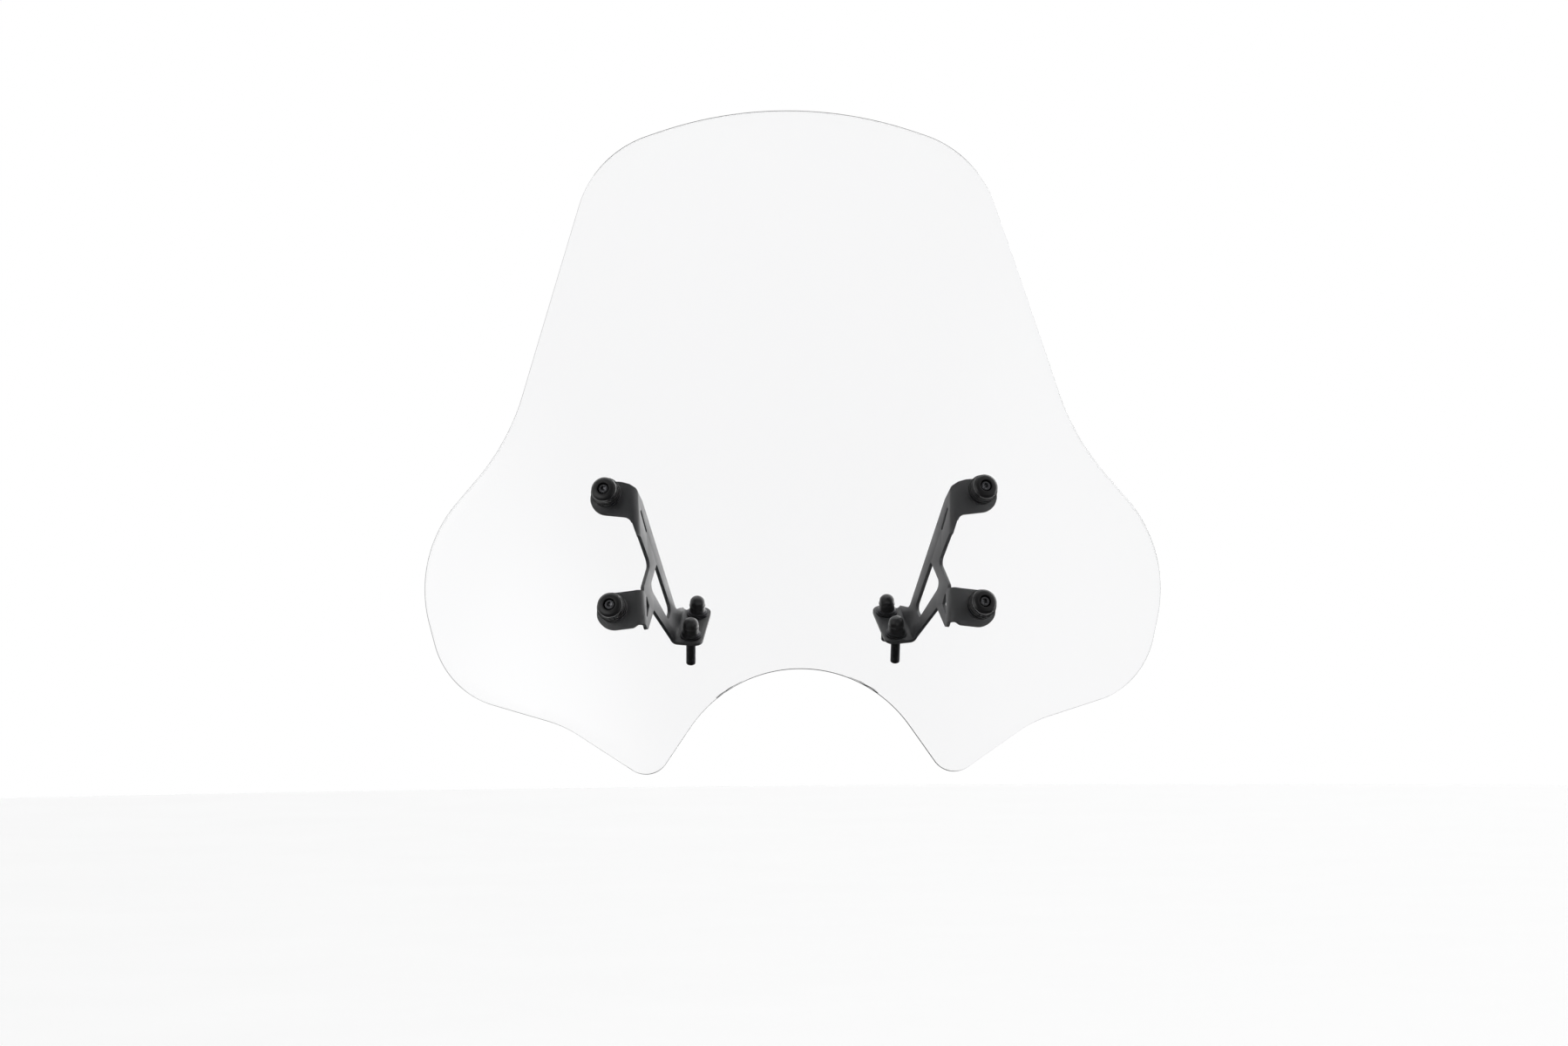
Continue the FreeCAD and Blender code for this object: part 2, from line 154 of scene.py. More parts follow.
def finished_mesh(name, bm, sharp=38):
    """A mesh object from the bmesh, smooth except across edges sharper than the given angle."""
    bmesh.ops.remove_doubles(bm, verts=bm.verts, dist=WELD)
    bmesh.ops.recalc_face_normals(bm, faces=bm.faces)
    for face in bm.faces:
        face.smooth = True
    limit = math.radians(sharp)
    for edge in bm.edges:
        edge.smooth = len(edge.link_faces) == 2 and edge.calc_face_angle() < limit
    mesh = bpy.data.meshes.new(name)
    bm.to_mesh(mesh)
    bm.free()
    piece = bpy.data.objects.new(name, mesh)
    bpy.context.scene.collection.objects.link(piece)
    return piece


def value_at(quantity, angle):
    """A row's radius or height, which may be a number or a function of the angle."""
    return quantity(angle) if callable(quantity) else quantity


def spun(name, rows, segments=96, closed=True, sharp=38):
    """A surface round Z through rows of (radius, height) in mm; either may be a function of the angle."""
    bm = bmesh.new()
    rings = []
    for radius, height in rows:
        ring = []
        for count in range(segments):
            angle = 2 * math.pi * count / segments
            reach = value_at(radius, angle) * MM
            rise = value_at(height, angle) * MM
            ring.append(bm.verts.new((reach * math.cos(angle), reach * math.sin(angle), rise)))
        rings.append(ring)
    pairs = list(zip(rings, rings[1:] + rings[:1])) if closed else list(zip(rings, rings[1:]))
    for low, high in pairs:
        for count in range(segments):
            ahead = (count + 1) % segments
            bm.faces.new((low[count], low[ahead], high[ahead], high[count]))
    return finished_mesh(name, bm, sharp)


def turned(name, corners, segments=96, step=15):
    """A ring turned about Z from corners of (radius, height, rounding radius) in mm."""
    return spun(name, [tuple(point) for point in rounded(corners, step)], segments)


def ring(name, inner, outer, low, high, edge):
    """A plain ring whose outer edges are rounded, and its inner ones half as much."""
    return turned(name, [
        (inner, low, edge / 2), (outer, low, edge), (outer, high, edge), (inner, high, edge / 2)])


def hexagon_radius(flats):
    """The distance from the axis to a hexagon's outline, by angle."""
    def reach(angle):
        offset = (angle % (math.pi / 3)) - math.pi / 6
        return flats / 2 / math.cos(offset)
    return reach


def chamfered_height(flats, top):
    """The height of a hexagon's crown, by angle, turned off at 30 degrees outside its flats."""
    reach = hexagon_radius(flats)

    def height(angle):
        return top - (reach(angle) - flats / 2) * math.tan(math.radians(30))
    return height


def thread_rows(low, high, major, pitch, depth, per_turn=10):
    """Rows of a right-hand thread between two heights, running out at both ends."""
    rows = []
    count = int((high - low) / pitch * per_turn)
    for step in range(count + 1):
        height = low + (high - low) * step / count
        fade = min(1.0, (height - low) / pitch + 0.2, (high - height) / pitch)

        def reach(angle, height=height, fade=fade):
            phase = (height / pitch - angle / (2 * math.pi)) % 1.0
            groove = min(1.0, max(0.0, 1.35 - abs(phase - 0.5) * 3.2))
            return major - depth * fade * groove
        rows.append((reach, height))
    return rows


def stand(piece, point, axis, turn=0.0):
    """Turns the piece's Z axis to the given one and moves its origin to the point."""
    rotation = Vector((0, 0, 1)).rotation_difference(axis).to_matrix().to_4x4()
    piece.matrix_world = Matrix.Translation(point) @ rotation @ Matrix.Rotation(math.radians(turn), 4, "Z")


def put(piece, node, body, material, point=None, axis=None, turn=0.0):
    """Stands the piece in place of a CAD node, riding on its body, with its finish."""
    if point is not None:
        stand(piece, point, axis, turn)
    piece.data.materials.clear()
    piece.data.materials.append(material)
    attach(piece, body)
    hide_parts(node)


# ---- materials ----
class Nodes:
    """A material with one Principled shader, and short ways to feed it."""

    def __init__(self, name, **values):
        self.material = bpy.data.materials.new(name)
        self.material.use_nodes = True
        self.tree = self.material.node_tree
        self.shader = self.tree.nodes["Principled BSDF"]
        for socket, value in values.items():
            self.shader.inputs[socket.replace("_", " ")].default_value = value
        self.place = self.tree.nodes.new("ShaderNodeTexCoord").outputs["Object"]

    def node(self, kind, **values):
        made = self.tree.nodes.new(kind)
        for name, value in values.items():
            if hasattr(made, name):
                setattr(made, name, value)
            else:
                self.feed(made.inputs[name.replace("_", " ")], value)
        return made

    def feed(self, socket, value):
        if isinstance(value, bpy.types.NodeSocket):
            self.tree.links.new(value, socket)
        else:
            socket.default_value = value

    def noise(self, scale, detail=3.0, roughness=0.55, stretch=None):
        place = self.place
        if stretch is not None:
            place = self.node("ShaderNodeMapping", Vector=place, Scale=stretch).outputs["Vector"]
        made = self.node("ShaderNodeTexNoise", Vector=place, Scale=scale, Detail=detail, Roughness=roughness)
        return made.outputs["Fac"]

    def cells(self, scale):
        return self.node("ShaderNodeTexVoronoi", Vector=self.place, Scale=scale).outputs["Distance"]

    def maths(self, operation, first, second=0.0, third=0.0):
        made = self.node("ShaderNodeMath", operation=operation)
        for socket, value in zip(made.inputs, (first, second, third)):
            self.feed(socket, value)
        return made.outputs["Value"]

    def radius(self):
        """The distance from the piece's own Z axis."""
        parts = self.node("ShaderNodeSeparateXYZ", Vector=self.place)
        across = self.maths("POWER", parts.outputs["X"], 2.0)
        along = self.maths("POWER", parts.outputs["Y"], 2.0)
        return self.maths("SQRT", self.maths("ADD", across, along))

    def ramp(self, factor, stops):
        made = self.node("ShaderNodeValToRGB", Fac=factor)
        elements = made.color_ramp.elements
        while len(elements) < len(stops):
            elements.new(0.5)
        for element, (position, colour) in zip(elements, stops):
            element.position = position
            element.color = (*colour, 1.0) if len(colour) == 3 else colour
        return made.outputs["Color"]

    def between(self, factor, low, high, start=0.3, end=0.7):
        made = self.node("ShaderNodeMapRange", Value=factor)
        for name, value in (("From Min", start), ("From Max", end), ("To Min", low), ("To Max", high)):
            made.inputs[name].default_value = value
        return made.outputs["Result"]

    def blend(self, factor, first, second):
        """A mix of two colours. The node's colour sockets share their names, so they go by number."""
        made = self.node("ShaderNodeMix", data_type="RGBA", Factor=factor)
        self.feed(made.inputs[6], first)
        self.feed(made.inputs[7], second)
        return made.outputs[2]

    def bump(self, height, distance, strength=1.0, under=None):
        made = self.node("ShaderNodeBump", Height=height, Distance=distance, Strength=strength)
        if under is not None:
            self.feed(made.inputs["Normal"], under)
        return made.outputs["Normal"]

    def set(self, **values):
        for socket, value in values.items():
            self.feed(self.shader.inputs[socket.replace("_", " ")], value)
        return self.material


def painted_edge_shade(nodes):
    """A mask for painted shade on the sheet's edges, set by the way each edge faces: one on the sheet's two faces,
    and less on the edges, none upwards and some sideways and downwards.
    """
    normal = nodes.node("ShaderNodeNewGeometry").outputs["True Normal"]
    facing = nodes.node("ShaderNodeSeparateXYZ", Vector=normal)
    up = facing.outputs["Z"]
    sideways = nodes.maths("ABSOLUTE", facing.outputs["X"])
    clear = nodes.between(up, 1.0, 0.0, 0.56, 0.62)
    clear = nodes.maths("MULTIPLY", clear, nodes.between(up, 0.20, 1.0, -0.74, -0.60))
    return nodes.maths("MULTIPLY", clear, nodes.between(sideways, 1.0, 0.20, 0.58, 0.72))


def acrylic():
    """Clear cast sheet: faint ripples, hairline scratches and a trace of haze, with painted shade on its edges:
    near black where they face up, dark grey where they face sideways or down.
    """
    nodes = Nodes("clear_acrylic", Transmission_Weight=1.0, IOR=1.49, Specular_IOR_Level=0.5)
    ripple = nodes.noise(7.0, 1.0)
    scratches = nodes.noise(260.0, 2.0, 0.5, stretch=(1.0, 1.0, 0.06))
    haze = nodes.between(nodes.noise(18.0, 4.0), 0.0, 0.012, 0.45, 0.8)
    marks = nodes.between(scratches, 0.0, 0.03, 0.62, 0.8)
    tint = nodes.ramp(nodes.noise(5.0), [(0.3, (0.990, 0.990, 0.994)), (0.7, (0.995, 0.995, 0.998))])
    # painted shade: the edges' base colour goes near black where they face up and dark grey where they face
    # sideways or down, by their direction and not by the light
    colour = nodes.blend(painted_edge_shade(nodes), (0.004, 0.004, 0.005, 1.0), tint)
    absorb = nodes.tree.nodes.new("ShaderNodeVolumeAbsorption")
    absorb.inputs["Color"].default_value = (0.50, 0.56, 0.66, 1.0)
    absorb.inputs["Density"].default_value = 2.5
    output = nodes.tree.nodes["Material Output"]
    nodes.tree.links.new(absorb.outputs["Volume"], output.inputs["Volume"])
    return nodes.set(Base_Color=colour, Roughness=nodes.maths("ADD", haze, marks),
                     Normal=nodes.bump(ripple, 0.0006, 0.25))


def powder_coat():
    """Satin black powder coat: soft orange peel, a fine grain and slightly polished patches."""
    nodes = Nodes("black_powder_coat", Specular_IOR_Level=0.55)
    peel = nodes.noise(620.0, 2.0)
    grain = nodes.noise(4200.0, 2.0, 0.6)
    patches = nodes.noise(38.0, 4.0)
    colour = nodes.ramp(nodes.maths("MULTIPLY_ADD", grain, 0.5, nodes.maths("MULTIPLY", patches, 0.5)), [
        (0.3, (0.023, 0.024, 0.026)), (0.55, (0.034, 0.035, 0.038)), (0.75, (0.048, 0.048, 0.049))])
    edge = nodes.node("ShaderNodeNewGeometry").outputs["Pointiness"]
    worn = nodes.between(edge, 0.0, 1.0, 0.515, 0.56)
    colour = nodes.blend(worn, colour, (0.055, 0.055, 0.054, 1.0))
    under = nodes.bump(peel, 0.00025, 0.35)
    return nodes.set(Base_Color=colour, Roughness=nodes.between(patches, 0.40, 0.52),
                     Normal=nodes.bump(grain, 0.00005, 0.35, under))


def rubber():
    """Moulded black rubber, with a dry bloom in patches."""
    nodes = Nodes("black_rubber", Specular_IOR_Level=0.4)
    grain = nodes.noise(3000.0, 3.0, 0.6)
    bloom = nodes.noise(140.0, 4.0)
    colour = nodes.ramp(bloom, [
        (0.3, (0.010, 0.010, 0.011)), (0.6, (0.017, 0.017, 0.018)), (0.8, (0.030, 0.030, 0.030))])
    return nodes.set(Base_Color=colour, Roughness=nodes.between(bloom, 0.48, 0.66),
                     Normal=nodes.bump(grain, 0.00006, 0.5))


def turned_black():
    """Black coated turned metal, whose cutting lines still show as faint rings."""
    nodes = Nodes("black_turned_cup", Specular_IOR_Level=0.5, Coat_Weight=0.25, Coat_Roughness=0.22)
    rings = nodes.maths("SINE", nodes.maths("MULTIPLY", nodes.radius(), 26000.0))
    speck = nodes.noise(1800.0, 3.0)
    colour = nodes.ramp(speck, [(0.35, (0.011, 0.011, 0.012)), (0.7, (0.022, 0.022, 0.023))])
    under = nodes.bump(rings, 0.00002, 0.25)
    return nodes.set(Base_Color=colour, Roughness=nodes.between(speck, 0.30, 0.42),
                     Normal=nodes.bump(speck, 0.00003, 0.2, under))


def turned_metal(name, light, dark, rough, rings_per_mm=4.0):
    """Bare or plated metal with turning lines, stains and small scratches."""
    nodes = Nodes(name, Metallic=1.0)
    lines = nodes.maths("SINE", nodes.maths("MULTIPLY", nodes.radius(), rings_per_mm * 2000 * math.pi))
    stain = nodes.noise(420.0, 4.0)
    scratch = nodes.noise(2400.0, 2.0, 0.5, stretch=(1.0, 0.12, 1.0))
    colour = nodes.ramp(stain, [(0.3, dark), (0.7, light)])
    roughness = nodes.maths("ADD", nodes.between(stain, rough - 0.06, rough + 0.06),
                            nodes.between(scratch, 0.0, 0.10, 0.55, 0.75))
    under = nodes.bump(lines, 0.00001, 0.3)
    return nodes.set(Base_Color=colour, Roughness=roughness, Normal=nodes.bump(scratch, 0.00002, 0.2, under))


def nylon():
    """Natural nylon, slightly milky."""
    nodes = Nodes("natural_nylon", Subsurface_Weight=0.2, Subsurface_Scale=0.001)
    cloud = nodes.noise(500.0, 3.0)
    colour = nodes.ramp(cloud, [(0.3, (0.66, 0.66, 0.60)), (0.7, (0.76, 0.76, 0.71))])
    return nodes.set(Base_Color=colour, Roughness=nodes.between(cloud, 0.38, 0.5),
                     Normal=nodes.bump(cloud, 0.00004, 0.3))


def moulded_plastic():
    """Black plastic with a spark-eroded grain."""
    nodes = Nodes("black_moulded_plastic", Specular_IOR_Level=0.5)
    pits = nodes.cells(2600.0)
    cloud = nodes.noise(160.0, 4.0)
    colour = nodes.ramp(cloud, [(0.3, (0.009, 0.009, 0.010)), (0.75, (0.020, 0.020, 0.021))])
    return nodes.set(Base_Color=colour, Roughness=nodes.between(cloud, 0.28, 0.38),
                     Normal=nodes.bump(pits, 0.00003, 0.4))


def studio_floor():
    """Pale and matt, with a trace of its own light so that it meets the backdrop."""
    nodes = Nodes("studio_floor", Specular_IOR_Level=0.2)
    cloud = nodes.noise(1.6, 3.0)
    colour = nodes.ramp(cloud, [(0.3, (0.93, 0.93, 0.93)), (0.7, (0.95, 0.95, 0.95))])
    nodes.shader.inputs["Emission Color"].default_value = (1.0, 1.0, 1.0, 1.0)
    nodes.shader.inputs["Emission Strength"].default_value = 0.04
    return nodes.set(Base_Color=colour, Roughness=nodes.between(cloud, 0.7, 0.8))


ACRYLIC = acrylic()
COATED = powder_coat()
RUBBER = rubber()
CUP_BLACK = turned_black()
STAINLESS = turned_metal("stainless", (0.20, 0.20, 0.21), (0.11, 0.11, 0.12), 0.20)
ZINC = turned_metal("zinc_plate", (0.66, 0.68, 0.70), (0.50, 0.52, 0.52), 0.30)
BLACK_ZINC = turned_metal("black_zinc", (0.060, 0.060, 0.064), (0.032, 0.032, 0.036), 0.38)
ALLOY = turned_metal("turned_alloy", (0.80, 0.81, 0.82), (0.68, 0.69, 0.70), 0.28)
NYLON = nylon()
PLASTIC = moulded_plastic()


# ---- the clear sheet ----
def back_depth(x, z):
    """The Y of the sheet's back face."""
    bow = ACROSS_RADIUS - math.sqrt(ACROSS_RADIUS ** 2 - x ** 2)
    rise = z - LEAN_HEIGHT
    return LEAN_DEPTH + bow + rise * math.tan(math.radians(LEAN)) + rise ** 2 / (2 * UPRIGHT_RADIUS)


def sheet_normal(x, z):
    """The back face's normal, pointing forward."""
    across_slope = x / math.sqrt(ACROSS_RADIUS ** 2 - x ** 2)
    upright_slope = math.tan(math.radians(LEAN)) + (z - LEAN_HEIGHT) / UPRIGHT_RADIUS
    return Vector((across_slope, -1.0, upright_slope)).normalized()


def sheet_point(place, height):
    """A point at a height in front of the sheet's back face, above a place (X, Z) on that face."""
    x, z = place
    return (Vector((x, back_depth(x, z), z)) + sheet_normal(x, z) * height) * MM


def inward_normals(loop):
    """The outline's normals towards the sheet, for a loop with the sheet on its left."""
    normals = []
    for index in range(len(loop)):
        along = loop[(index + 1) % len(loop)] - loop[index - 1]
        normals.append(Vector((-along.y, along.x)).normalized())
    return normals


def rim_profile(radius):
    """Insets and heights round an edge of the sheet, from its back face to its front face."""
    steps = 6
    quarter = [math.pi / 2 * count / steps for count in range(steps + 1)]
    back = [(radius * (1 - math.sin(angle)), radius * (1 - math.cos(angle))) for angle in quarter]
    return back + [(inset, SHEET - height) for inset, height in reversed(back)]


def hole_loop(joint):
    """Places (X, Z) round a drilled hole, clockwise, so that the sheet is on the loop's left."""
    axis = Vector(joint["axis"])
    centre = Vector(joint["pos_m"]) / MM
    across = axis.cross(Vector((0, 0, 1))).normalized()
    along = axis.cross(across)
    loop = []
    for count in range(HOLE_SIDES):
        angle = 2 * math.pi * count / HOLE_SIDES
        point = centre + (across * math.cos(angle) + along * math.sin(angle)) * SHEET_HOLE
        loop.append(Vector((point.x, point.z)))
    area = sum(a.x * b.y - b.x * a.y for a, b in zip(loop, loop[1:] + loop[:1]))
    return loop if area < 0 else loop[::-1]


def screen_outline():
    """Places (X, Z) round the sheet, anticlockwise, so that the sheet is on the loop's left."""
    left = [(-x, z, radius) for x, z, radius in reversed(SHEET_CORNERS[1:-1])]
    loop = evened(rounded(SHEET_CORNERS + left, OUTLINE_STEP), GRID * 0.7)
    cleaned = [point for index, point in enumerate(loop) if (point - loop[index - 1]).length > OUTLINE_GAP]
    area = sum(a.x * b.y - b.x * a.y for a, b in zip(cleaned, cleaned[1:] + cleaned[:1]))
    return cleaned if area > 0 else cleaned[::-1]


def inside(place, loop):
    """Whether a place lies inside a closed loop, by counting crossings."""
    found = False
    for a, b in zip(loop, loop[1:] + loop[:1]):
        if (a.y > place.y) != (b.y > place.y):
            if place.x < a.x + (b.x - a.x) * (place.y - a.y) / (b.y - a.y):
                found = not found
    return found


def nearest(place, points):
    """The distance from a place to the nearest of the points."""
    return min((place - point).length for point in points)


def grid_places(outline):
    """Places on a staggered grid inside the outline."""
    places = []
    for column in GRID_COLUMNS:
        for row in GRID_ROWS:
            place = Vector((column * GRID, row * GRID + (GRID / 2 if column % 2 else 0.0)))
            if nearest(place, outline) >= RIM_CLEAR and inside(place, outline):
                places.append(place)
    return places


def add_rim(bm, loop, radius, first, last):
    """Closes the gap between the back face's edge, first, and the front face's, last, round a loop."""
    normals = inward_normals(loop)
    rings = [first]
    for inset, height in rim_profile(radius)[1:-1]:
        rings.append([bm.verts.new(sheet_point(point + normal * inset, height))
                      for point, normal in zip(loop, normals)])
    rings.append(last)
    for low, high in zip(rings, rings[1:]):
        for index in range(len(loop)):
            ahead = (index + 1) % len(loop)
            bm.faces.new((low[index], low[ahead], high[ahead], high[index]))


def make_screen():
    """Two faces over the same triangles, joined round the outline and the holes by rounded edges."""
    loops = [(screen_outline(), RIM_ROUND)]
    holes = [joint for joint in frame["joints"] if joint["name"].endswith("screw_turn")]
    loops += [(hole_loop(joint), HOLE_ROUND) for joint in holes]
    places, edges, starts = [], [], []
    for loop, radius in loops:
        start = len(places)
        starts.append(start)
        places += [point + normal * radius for point, normal in zip(loop, inward_normals(loop))]
        edges += [(start + index, start + (index + 1) % len(loop)) for index in range(len(loop))]
    rim_count = len(places)
    outline = places[:len(loops[0][0])]
    centres = [Vector((joint["pos_m"][0], joint["pos_m"][2])) / MM for joint in holes]
    places += [place for place in grid_places(outline) if nearest(place, centres) >= HOLE_CLEAR]
    found, _, faces, originals, _, _ = delaunay_2d_cdt(places, edges, [], 1, MESH_TOLERANCE)

    bm = bmesh.new()
    back = [bm.verts.new(sheet_point(place, 0.0)) for place in found]
    front = [bm.verts.new(sheet_point(place, SHEET)) for place in found]
    for face in faces:
        middle = sum((found[index] for index in face), Vector((0, 0))) / len(face)
        if nearest(middle, centres) < SHEET_HOLE:
            continue
        bm.faces.new([back[index] for index in face])
        bm.faces.new([front[index] for index in reversed(face)])

    kept = {}
    for index, sources in enumerate(originals):
        for source in sources:
            if source < rim_count:
                kept[source] = index
    for (loop, radius), start in zip(loops, starts):
        first = [back[kept[start + index]] for index in range(len(loop))]
        last = [front[kept[start + index]] for index in range(len(loop))]
        add_rim(bm, loop, radius, first, last)
    screen = finished_mesh("clear_screen", bm, 60)
    put(screen, "screen", "windshield", ACRYLIC)
    screen.visible_shadow = False


# ---- the brackets ----
def make_bracket(side):
    """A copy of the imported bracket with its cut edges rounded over."""
    node = f"{side}_bracket"
    bm = bmesh.new()
    bm.from_mesh(frame["nodes"][node].data)
    bmesh.ops.remove_doubles(bm, verts=bm.verts, dist=WELD)
    bmesh.ops.dissolve_limit(bm, angle_limit=math.radians(PLATE_FLAT), verts=bm.verts, edges=bm.edges)
    sharp = math.radians(PLATE_SHARP)
    cut = [edge for edge in bm.edges if len(edge.link_faces) == 2 and edge.calc_face_angle() > sharp]
    bmesh.ops.bevel(bm, geom=cut, offset=PLATE_ROUND * MM, offset_type="OFFSET", segments=3, profile=0.5,
                    affect="EDGES", clamp_overlap=True)
    bmesh.ops.triangulate(bm, faces=[face for face in bm.faces if len(face.verts) > 4])
    piece = finished_mesh(f"coated_{node}", bm, 32)
    put(piece, node, "windshield", COATED)


# ---- the rubber mounts' pieces ----
def screen_screw(name):
    """A cap screw: thread, knurled head, chamfered crown and a hexagon socket."""
    top = SCREW_SEAT + 2 * SCREW
    socket = hexagon_radius(4.0)

    def knurl(angle):
        return SCREW_HEAD - 0.10 - 0.10 * math.cos(36 * angle)
    rows = [(0, SCREW_END), (SCREW - 0.55, SCREW_END)]
    rows += thread_rows(SCREW_END + 0.35, SCREW_END + 16, SCREW, SCREW_PITCH, 0.42)
    rows += [(SCREW, SCREW_SEAT - 0.3), (SCREW + 0.02, SCREW_SEAT), (SCREW_HEAD - 0.35, SCREW_SEAT),
             (SCREW_HEAD - 0.15, SCREW_SEAT + 0.25), (knurl, SCREW_SEAT + 0.5), (knurl, top - 0.75),
             (SCREW_HEAD - 0.12, top - 0.55), (SCREW_HEAD - 0.30, top - 0.2), (SCREW_HEAD - 0.55, top),
             (2.5, top), (2.42, top - 0.05), (socket, top - 0.22), (socket, top - 2.5), (0, top - 3.2)]
    return spun(name, rows, 144, closed=False, sharp=30)


def cup_washer(name):
    """A stepped, domed cup that the screw's head sits deep inside."""
    low, high = CUP_SEAT, CUP_FRONT
    recess = SCREW_HEAD + 0.85
    return turned(name, [
        (RUNNING_HOLE, low, 0.1), (11.5, low, 0.3), (11.5, low + 1.3, 0.4), (10.7, low + 1.5, 0.1),
        (10.7, low + 1.9, 0.1), (11.1, low + 2.1, 0.15), (11.1, low + 3.1, 0.3), (10.4, low + 3.3, 0.1),
        (10.4, low + 3.7, 0.1), (10.7, low + 3.9, 0.15), (10.5, high - 1.9, 1.0), (8.6, high - 0.5, 1.5),
        (recess + 1.2, high, 0.4), (recess, high, 0.25), (recess, SCREW_SEAT, 0.2),
        (RUNNING_HOLE, SCREW_SEAT, 0.1)], 128)


def grommet(name):
    """A rubber bush whose two flanges grip the sheet."""
    flange = 12.2
    neck = SHEET_HOLE - 0.15
    front, back = SHEET + 0.1, -0.3
    return turned(name, [
        (SLEEVE, GROMMET_BACK, 0.1), (flange - 1, GROMMET_BACK, 0.6), (flange, GROMMET_BACK + 1.2, 0.6),
        (flange, back, 0.3), (neck, back, 0), (neck, front, 0), (flange, front, 0.3),
        (flange, CUP_SEAT, 0.5), (SLEEVE, CUP_SEAT, 0.1)], 128)


def rear_spacer(name):
    """A rubber spacer with a shallow waist between its two lips."""
    low, high = EAR_FRONT, GROMMET_BACK
    return turned(name, [
        (FREE_HOLE, low, 0.2), (8.0, low, 0.4), (8.0, low + 1.3, 0.3), (7.7, low + 1.6, 0.3),
        (7.7, high - 1.6, 0.3), (8.0, high - 1.3, 0.3), (8.0, high, 0.4), (FREE_HOLE, high, 0.2)], 96)


def locking_nut(name):
    """A nut whose crown faces backwards, with a rolled collar over its nylon ring."""
    front = EAR_FRONT - PLATE - NUT_WASHER
    back = front - NUT_HEIGHT
    prism = hexagon_radius(NUT_FLATS)
    face_chamfer = chamfered_height(NUT_FLATS, front)
    crown = chamfered_height(NUT_FLATS, -(front - 3.8))

    def crown_height(angle):
        return -crown(angle)
    rows = [(RUNNING_HOLE, front - 0.4), (RUNNING_HOLE + 0.4, front), (NUT_FLATS / 2 - 0.15, front),
            (prism, face_chamfer), (prism, crown_height), (NUT_FLATS / 2 - 0.1, front - 3.85),
            (3.8, front - 3.95), (3.8, back + 0.7), (3.7, back + 0.3), (3.45, back + 0.05), (3.2, back),
            (2.95, back + 0.05), (2.9, back + 0.3), (3.4, back + 0.3), (3.4, back + 1.6),
            (RUNNING_HOLE, back + 1.6)]
    return spun(name, rows, 144, sharp=24)


def nut_insert(name):
    back = EAR_FRONT - PLATE - NUT_WASHER - NUT_HEIGHT
    return ring(name, RUNNING_HOLE, 3.4, back + 0.3, back + 1.6, 0.1)


def sleeve(name):
    return ring(name, FREE_HOLE, SLEEVE, GROMMET_BACK, CUP_SEAT, 0.1)


def rear_washer(name):
    back = EAR_FRONT - PLATE
    return ring(name, FREE_HOLE, 5.0, back - NUT_WASHER, back, 0.2)


MOUNT_PIECES = {
    "screen_screw": (screen_screw, "stainless", STAINLESS),
    "cup_washer": (cup_washer, "black_cup", CUP_BLACK),
    "grommet": (grommet, "rubber", RUBBER),
    "sleeve": (sleeve, "alloy", ALLOY),
    "rear_spacer": (rear_spacer, "rubber", RUBBER),
    "rear_washer": (rear_washer, "zinc_plate", ZINC),
    "nut": (locking_nut, "zinc_plate", ZINC),
    "nut_insert": (nut_insert, "nylon", NYLON),
}


# ---- the clamp bolts' pieces ----
def clamp_bolt(name):
    """A flange bolt: thread, flange and a chamfered hexagon."""
    prism = hexagon_radius(BOLT_FLATS)
    top = BOLT_SEAT + HEAD
    rows = [(0, BOLT_END), (BOLT - 0.85, BOLT_END)]
    rows += thread_rows(BOLT_END + 0.6, -0.5, BOLT, BOLT_PITCH, 0.66)
    rows += [(BOLT, BOLT_SEAT), (7.8, BOLT_SEAT), (8.0, BOLT_SEAT + 0.2), (8.0, BOLT_SEAT + 0.7),
             (7.7, BOLT_SEAT + 1.0), (6.0, BOLT_SEAT + FLANGE - 0.05), (prism, BOLT_SEAT + FLANGE),
             (prism, chamfered_height(BOLT_FLATS, top)), (BOLT_FLATS / 2 - 0.2, top), (3.4, top),
             (3.1, top - 0.3), (0, top - 0.35)]
    return spun(name, rows, 144, closed=False, sharp=26)


def clamp_washer(name):
    return ring(name, CLAMP_HOLE, WASHER_RIM, PLATE, BOLT_SEAT, 0.3)


def bolt_cap(name):
    """A domed cap with a raised ring and a shallow moulded dimple in its crown."""
    seat = BOLT_SEAT + FLANGE + CAP_GAP
    top = seat + CAP_HEIGHT
    bore = BOLT_FLATS / math.sqrt(3) + CAP_GAP
    roof = BOLT_SEAT + HEAD + 0.5
    return turned(name, [
        (bore, seat, 0.1), (CAP + 0.3, seat, 0.2), (CAP, seat + 4.6, 0.1), (CAP + 0.4, seat + 4.9, 0.15),
        (CAP + 0.4, seat + 5.5, 0.2), (CAP, seat + 5.9, 0.2), (CAP - 0.3, top, 5.2), (0.55, top, 0.2),
        (0.35, top - 0.25, 0.1), (0, top - 0.25, 0), (0, roof, 0), (bore, roof, 0.3)], 128, 9)


CLAMP_PIECES = {
    "clamp_bolt": (clamp_bolt, "black_zinc", BLACK_ZINC),
    "clamp_washer": (clamp_washer, "black_zinc", BLACK_ZINC),
    "bolt_cap": (bolt_cap, "black_plastic", PLASTIC),
}


# ---- the whole object ----
def bodies_by_node():
    """The name of the body that each CAD node rides on."""
    groups = frame["record"]["behaviour"]["bodies"]
    return {node: body for body, nodes in groups.items() for node in nodes}


def joint_named(name):
    return next(joint for joint in frame["joints"] if joint["name"] == name)


def make_mounts(bodies):
    """Every screen mount's pieces, on the axis that its screw turns about."""
    for side in SIDES:
        for level in LEVELS:
            joint = joint_named(f"{level}_{side}_screw_turn")
            point, axis = Vector(joint["pos_m"]), Vector(joint["axis"])
            for kind, (make, slot, material) in MOUNT_PIECES.items():
                node = f"{level}_{side}_{kind}"
                turn = 25.0 * LEVELS.index(level) + 40.0 * SIDES.index(side)
                put(make(f"fine_{node}"), node, bodies[node], material, point, axis, turn)


